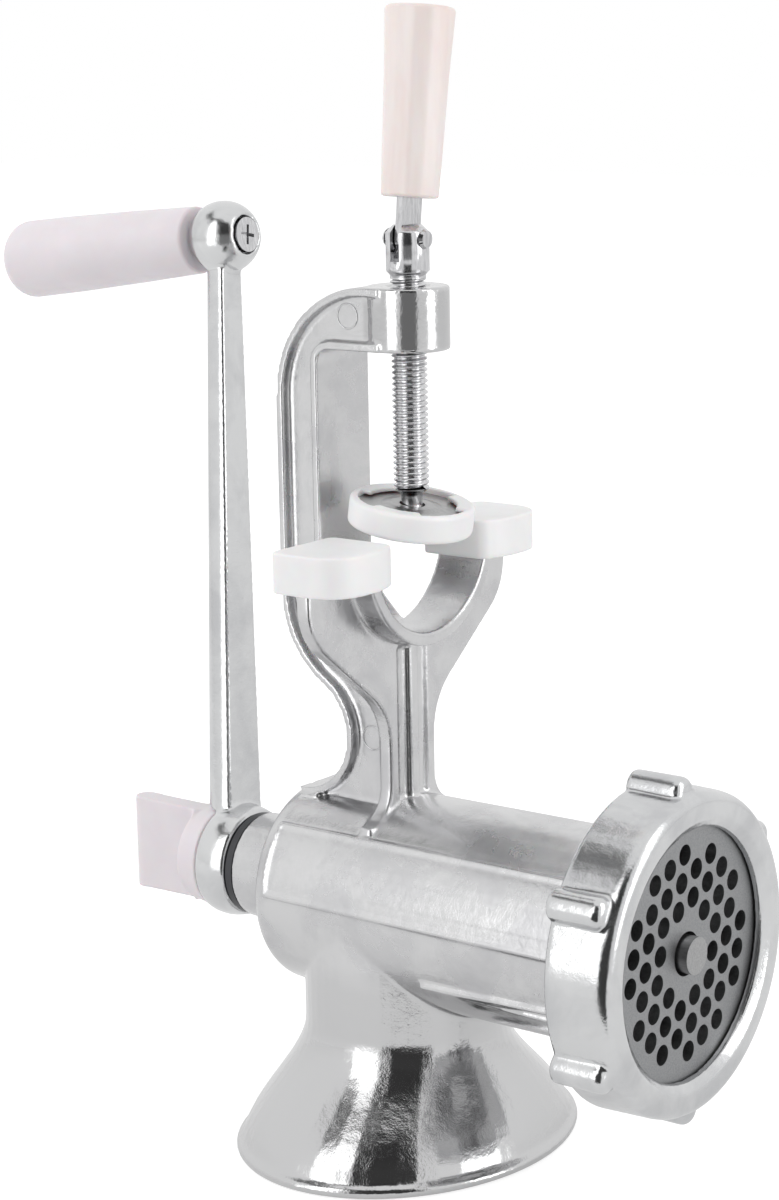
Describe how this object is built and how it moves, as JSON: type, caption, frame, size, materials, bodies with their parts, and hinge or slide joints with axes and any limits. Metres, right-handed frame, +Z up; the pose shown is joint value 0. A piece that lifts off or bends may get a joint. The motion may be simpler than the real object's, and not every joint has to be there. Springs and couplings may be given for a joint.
{
  "type": "hand crank meat grinder",
  "caption": "Clamp-on hand crank meat grinder standing upside down on its oval hopper, with barrel, hole plate, ring nut, crank, bow clamp and folding screw handle.",
  "frame": {"origin": "centre of the oval hopper mouth, on the surface that the mouth stands on", "axes": "+X along the barrel towards the outlet, +Z up with the grinder standing upside down on its hopper, towards the clamp screw's handle, +Y across the barrel; the casting is the same on both sides of Y = 0"},
  "size_m": [0.2212, 0.0864, 0.2573],
  "materials": {
    "body_casting": "bright cast aluminium, satin, polished on the hopper",
    "nut_casting": "turned and polished cast aluminium",
    "plate_steel": "ground steel",
    "knife_steel": "ground steel",
    "auger_casting": "rough cast aluminium",
    "bright_steel": "bright plated steel",
    "black_bush": "black nylon",
    "white_plastic": "white translucent polyethylene",
    "washer_plastic": "natural nylon",
    "lilac_plastic": "pale lilac-white plastic",
    "cream_plastic": "pale pinkish cream plastic"
  },
  "bodies": {
    "casting": {"barrel": "body_casting", "hopper": "body_casting", "clamp_frame": "body_casting", "rear_bush": "black_bush", "plate_key": "bright_steel", "left_table_pad": "white_plastic", "right_table_pad": "white_plastic"},
    "plate": {"hole_plate": "plate_steel"},
    "nut": {"ring_nut": "nut_casting"},
    "crank": {"auger": "auger_casting", "auger_stud": "knife_steel", "thrust_washer": "washer_plastic", "cutting_knife": "knife_steel", "crank_arm": "nut_casting"},
    "thumb_screw": {"thumb_screw_wing": "lilac_plastic", "thumb_screw_stud": "bright_steel"},
    "grip": {"crank_grip": "lilac_plastic", "crank_grip_screw": "bright_steel"},
    "swivel_pad": {"swivel_cup": "white_plastic", "swivel_disc": "plate_steel"},
    "screw": {"clamp_screw": "bright_steel", "handle_rivet": "knife_steel"},
    "handle": {"handle_tongue": "bright_steel", "handle_grip": "cream_plastic"}
  },
  "joints": [
    {"name": "crank_spin", "type": "hinge", "parent": "casting", "child": "crank", "pos_m": [0, 0, 0.0573], "axis": [1, 0, 0], "continuous": true},
    {"name": "grip_spin", "type": "hinge", "parent": "crank", "child": "grip", "pos_m": [-0.07444, 0.03002, 0.20225], "axis": [-0.9923, -0.0251, -0.121], "continuous": true},
    {"name": "thumb_screw_turn", "type": "hinge", "parent": "crank", "child": "thumb_screw", "pos_m": [-0.0532, 0, 0.0573], "axis": [-1, 0, 0], "range_deg": [0, 1440]},
    {"name": "plate_slide", "type": "slide", "parent": "casting", "child": "plate", "axis": [1, 0, 0], "range_m": [0, 0.012]},
    {"name": "ring_nut_turn", "type": "hinge", "parent": "plate", "child": "nut", "pos_m": [0.0757, 0, 0.0573], "axis": [1, 0, 0], "range_deg": [0, 1440]},
    {"name": "clamp_feed", "type": "slide", "parent": "casting", "child": "swivel_pad", "axis": [0, 0, 1], "range_m": [-0.002, 0.03]},
    {"name": "clamp_screw_turn", "type": "hinge", "parent": "swivel_pad", "child": "screw", "pos_m": [0.004, 0, 0.151], "axis": [0, 0, 1], "range_deg": [-576, 8640]},
    {"name": "handle_fold", "type": "hinge", "parent": "screw", "child": "handle", "pos_m": [0.004, 0, 0.207], "axis": [1, 0, 0], "range_deg": [-80, 94]}
  ],
  "couplings": [
    {"joint": "plate_slide", "follows": "ring_nut_turn", "m_per_rad": 0.00047746},
    {"joint": "clamp_screw_turn", "follows": "clamp_feed", "rad_per_m": 5026.5}
  ]
}
